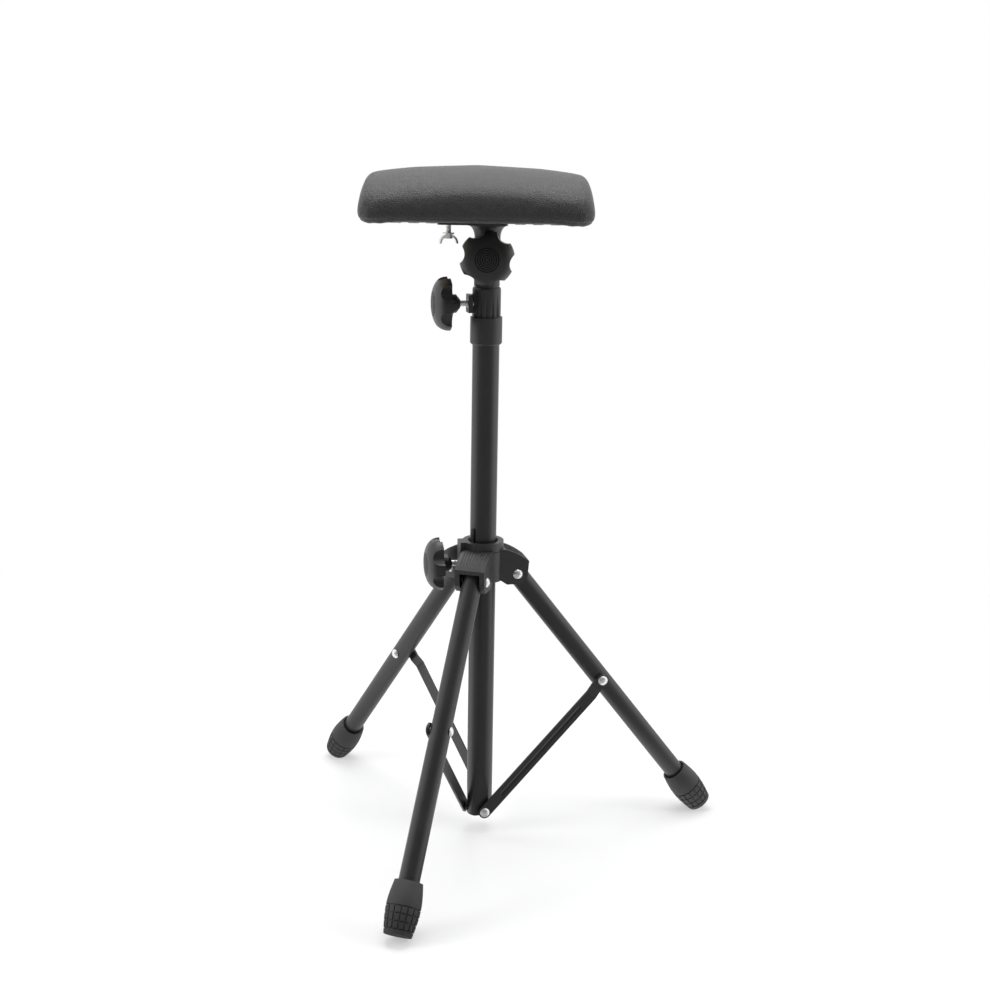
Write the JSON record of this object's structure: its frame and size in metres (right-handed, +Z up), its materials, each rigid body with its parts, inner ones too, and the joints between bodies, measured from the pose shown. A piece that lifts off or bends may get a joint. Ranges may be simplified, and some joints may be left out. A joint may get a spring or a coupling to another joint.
{
  "type": "folding arm rest stand",
  "caption": "Folding tripod stand with braced legs and a sliding hub; its post lifts and turns, and a small padded arm rest on top tilts and is clamped by star knobs.",
  "frame": {"origin": "point on the floor under the column's axis", "axes": "+Z up along the column; +X to the right along the pad; the tilt knob faces -Y"},
  "size_m": [0.4061, 0.4132, 0.6494],
  "materials": {
    "black_paint": "satin black powder coat",
    "brace_paint": "satin black paint",
    "zinc": "bright zinc",
    "bright_steel": "bright nickel plate",
    "black_plastic": "fine moulded grain",
    "knob_plastic": "semi-gloss",
    "liner_plastic": "smooth",
    "pale_plastic": "smooth natural nylon",
    "brass": "turned",
    "foot_rubber": "matt",
    "plywood": "raw",
    "pad_cover": "fine pebbled black imitation leather"
  },
  "bodies": {
    "column": {"column_tube": "black_paint", "brace_foot_rivets": "zinc", "brace_foot_spacers": "brace_paint", "top_collar": "black_plastic", "collar_insert": "brass"},
    "hub": {"hub_body": "black_plastic", "hub_liner": "liner_plastic", "hub_insert": "brass", "leg_pins": "zinc"},
    "post_glide": {"post_glide": "pale_plastic"},
    "post": {"post_tube": "black_paint", "post_pin": "zinc", "lower_head": "black_plastic"},
    "pad": {"upper_head": "black_plastic", "tilt_bolt": "bright_steel", "head_screws": "zinc", "mounting_plate": "black_paint", "plate_screws": "zinc", "pad_board": "plywood", "pad_bolt": "bright_steel", "pad_cushion": "pad_cover"},
    "tilt_washer": {"tilt_washer": "zinc"},
    "tilt_knob": {"tilt_knob": "knob_plastic", "tilt_nut": "zinc"},
    "wing_washer": {"wing_washer": "zinc"},
    "wing_nut": {"wing_nut": "bright_steel"},
    "collar_tip": {"collar_tip": "pale_plastic"},
    "collar_knob": {"collar_knob": "knob_plastic", "collar_screw": "bright_steel"},
    "hub_tip": {"hub_tip": "pale_plastic"},
    "hub_knob": {"hub_knob": "knob_plastic", "hub_screw": "bright_steel"},
    "leg_right": {"leg_tube_right": "black_paint", "foot_right": "foot_rubber", "brace_rivet_right": "zinc"},
    "brace_right": {"brace_right": "brace_paint"},
    "leg_front": {"leg_tube_front": "black_paint", "foot_front": "foot_rubber", "brace_rivet_front": "zinc"},
    "brace_front": {"brace_front": "brace_paint"},
    "leg_left": {"leg_tube_left": "black_paint", "foot_left": "foot_rubber", "brace_rivet_left": "zinc"},
    "brace_left": {"brace_left": "brace_paint"}
  },
  "joints": [
    {"name": "brace_right_swing", "type": "hinge", "parent": "column", "child": "brace_right", "pos_m": [0.00244, 0.00056, 0.022], "axis": [0.225, -0.9744, 0], "range_deg": [0, 31.5]},
    {"name": "brace_front_swing", "type": "hinge", "parent": "column", "child": "brace_front", "pos_m": [-0.00073, -0.00239, 0.022], "axis": [-0.9563, 0.2924, 0], "range_deg": [-0.5, 32]},
    {"name": "brace_left_swing", "type": "hinge", "parent": "column", "child": "brace_left", "pos_m": [-0.0017, 0.00183, 0.022], "axis": [0.7314, 0.682, 0], "range_deg": [-0.5, 32]},
    {"name": "leg_right_on_brace", "type": "hinge", "parent": "brace_right", "child": "leg_right", "pos_m": [0.11731, 0.02708, 0.15186], "axis": [0.225, -0.9744, 0], "range_deg": [-68, 0.5]},
    {"name": "hub_on_leg_right", "type": "hinge", "parent": "leg_right", "child": "hub", "pos_m": [0.0305, 0.00704, 0.26714], "axis": [0.225, -0.9744, 0], "range_deg": [-0.5, 36.5]},
    {"name": "leg_front_on_hub", "type": "hinge", "parent": "hub", "child": "leg_front", "pos_m": [-0.00915, -0.02993, 0.26714], "axis": [-0.9563, 0.2924, 0], "range_deg": [-36.5, 0.5]},
    {"name": "leg_left_on_hub", "type": "hinge", "parent": "hub", "child": "leg_left", "pos_m": [-0.02135, 0.02289, 0.26714], "axis": [0.7314, 0.682, 0], "range_deg": [-36.5, 0.5]},
    {"name": "post_height", "type": "slide", "parent": "column", "child": "post_glide", "axis": [0, 0, 1], "range_m": [0, 0.3]},
    {"name": "post_turn", "type": "hinge", "parent": "post_glide", "child": "post", "pos_m": [0, 0, 0.5398], "axis": [0, 0, 1], "continuous": true},
    {"name": "pad_tilt", "type": "hinge", "parent": "post", "child": "pad", "pos_m": [0, 0, 0.5674], "axis": [0, 1, 0], "range_deg": [-30, 45]},
    {"name": "collar_clamp_feed", "type": "slide", "parent": "column", "child": "collar_tip", "axis": [-0.9744, -0.225, 0], "range_m": [0, 0.0015]},
    {"name": "collar_clamp_turn", "type": "hinge", "parent": "collar_tip", "child": "collar_knob", "pos_m": [-0.02475, -0.00571, 0.52471], "axis": [-0.9744, -0.225, 0], "range_deg": [-1, 541]},
    {"name": "hub_clamp_feed", "type": "slide", "parent": "hub", "child": "hub_tip", "axis": [-0.9744, -0.225, 0], "range_m": [0, 0.0015]},
    {"name": "hub_clamp_turn", "type": "hinge", "parent": "hub_tip", "child": "hub_knob", "pos_m": [-0.03022, -0.00698, 0.27744], "axis": [-0.9744, -0.225, 0], "range_deg": [-1, 541]},
    {"name": "tilt_clamp_feed", "type": "slide", "parent": "pad", "child": "tilt_washer", "axis": [0, -1, 0], "range_m": [0, 0.0015]},
    {"name": "tilt_clamp_turn", "type": "hinge", "parent": "tilt_washer", "child": "tilt_knob", "pos_m": [0, -0.0122, 0.5674], "axis": [0, -1, 0], "range_deg": [-1, 541]},
    {"name": "wing_feed", "type": "slide", "parent": "pad", "child": "wing_washer", "axis": [0, 0, -1], "range_m": [-0.0104, 0]},
    {"name": "wing_turn", "type": "hinge", "parent": "wing_washer", "child": "wing_nut", "pos_m": [-0.0353, 0, 0.58698], "axis": [0, 0, -1], "range_deg": [-4681, 1]}
  ],
  "couplings": [
    {"joint": "brace_front_swing", "follows": "brace_right_swing", "ratio": 1},
    {"joint": "brace_left_swing", "follows": "brace_right_swing", "ratio": 1},
    {"joint": "leg_right_on_brace", "follows": "brace_right_swing", "ratio": -2.1429},
    {"joint": "hub_on_leg_right", "follows": "brace_right_swing", "ratio": 1.1429},
    {"joint": "leg_front_on_hub", "follows": "brace_right_swing", "ratio": -1.1429},
    {"joint": "leg_left_on_hub", "follows": "brace_right_swing", "ratio": -1.1429},
    {"joint": "collar_clamp_turn", "follows": "collar_clamp_feed", "rad_per_m": 6283.2},
    {"joint": "hub_clamp_turn", "follows": "hub_clamp_feed", "rad_per_m": 6283.2},
    {"joint": "tilt_clamp_turn", "follows": "tilt_clamp_feed", "rad_per_m": 6283.2},
    {"joint": "wing_turn", "follows": "wing_feed", "rad_per_m": 7854}
  ]
}
